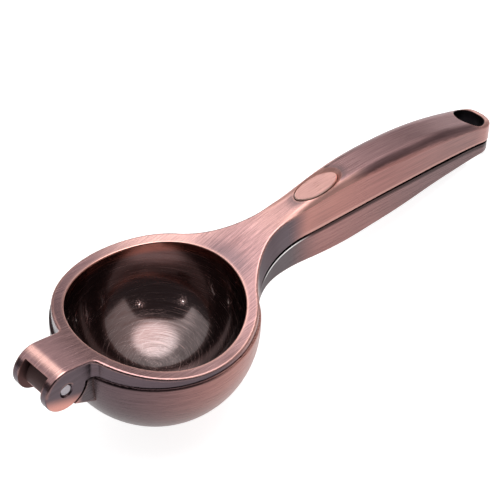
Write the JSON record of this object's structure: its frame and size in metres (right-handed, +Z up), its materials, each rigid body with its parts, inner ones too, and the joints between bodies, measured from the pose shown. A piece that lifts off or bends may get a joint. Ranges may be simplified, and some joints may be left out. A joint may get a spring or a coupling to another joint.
{
  "type": "lemon squeezer",
  "caption": "Hinged hand squeezer: a deep press bowl closes into a strainer cup, with two arched lever handles and an oval inlay on top.",
  "frame": {"origin": "centre of the closed tool's bounding box, on the table under it", "axes": "+X along the handles from the hinge end towards the handle tips, +Z up from the table, +Y to the left seen from the hinge end"},
  "size_m": [0.2174, 0.0736, 0.0579],
  "materials": {
    "antique_copper": "brushed antique copper, worn bright at the edges",
    "inlay_copper": "light copper, finely brushed along the handle",
    "pin_steel": "bright steel"
  },
  "bodies": {
    "lower": {"cup_lever": "antique_copper"},
    "upper": {"press_lever": "antique_copper", "hinge_pin": "pin_steel", "oval_inlay": "inlay_copper"}
  },
  "joints": [
    {"name": "lever_hinge", "type": "hinge", "parent": "lower", "child": "upper", "pos_m": [-0.09995, 0, 0.04911], "axis": [0, -1, 0], "range_deg": [0, 130]}
  ]
}
